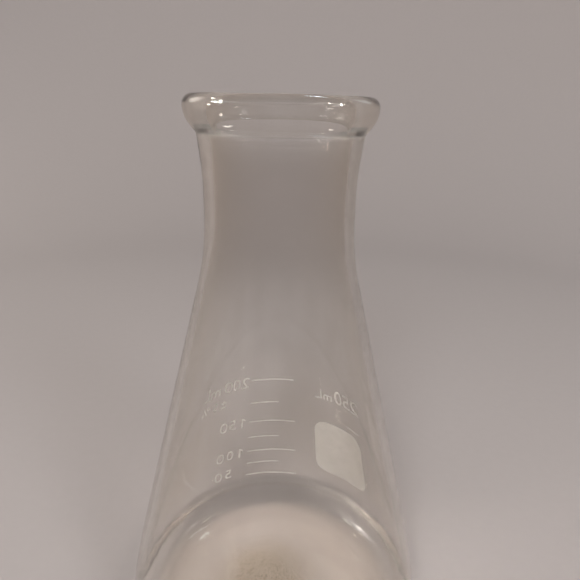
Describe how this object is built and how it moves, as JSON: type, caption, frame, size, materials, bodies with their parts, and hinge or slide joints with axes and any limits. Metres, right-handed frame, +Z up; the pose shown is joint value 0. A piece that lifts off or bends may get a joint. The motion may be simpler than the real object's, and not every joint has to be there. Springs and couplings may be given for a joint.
{
  "type": "conical flask",
  "caption": "Clear glass conical laboratory flask with a heavy flared rim, waisted neck, straight cone and hollowed foot, with a white enamel graduation and writing spot.",
  "frame": {"origin": "centre of the foot, in the plane the flask stands on", "axes": "+Z up the flask's axis towards the mouth, +Y towards the graduation's side, +X completing a right-handed frame"},
  "size_m": [0.081, 0.081, 0.142],
  "materials": {
    "glass": "clear borosilicate glass, fire polished, with a faint warm tint and a light haze from use",
    "enamel": "white enamel fired onto the glass, slightly worn"
  },
  "bodies": {
    "root": {"capacity_digit_1": "enamel", "capacity_digit_2": "enamel", "capacity_digit_3": "enamel", "capacity_unit_l": "enamel", "capacity_unit_m": "enamel", "flask_body": "glass", "label_rule": "enamel", "marking_spot": "enamel", "percent_lower_ring": "enamel", "percent_slash": "enamel", "percent_upper_ring": "enamel", "scale_100_digit_1": "enamel", "scale_100_digit_2": "enamel", "scale_100_digit_3": "enamel", "scale_150_digit_1": "enamel", "scale_150_digit_2": "enamel", "scale_150_digit_3": "enamel", "scale_200_digit_1": "enamel", "scale_200_digit_2": "enamel", "scale_200_digit_3": "enamel", "scale_50_digit_1": "enamel", "scale_50_digit_2": "enamel", "scale_unit_l": "enamel", "scale_unit_m": "enamel", "tick_100_ml": "enamel", "tick_125_ml": "enamel", "tick_150_ml": "enamel", "tick_175_ml": "enamel", "tick_200_ml": "enamel", "tick_50_ml": "enamel", "tick_75_ml": "enamel", "tolerance_5": "enamel", "tolerance_minus": "enamel", "tolerance_plus": "enamel"}
  },
  "joints": []
}
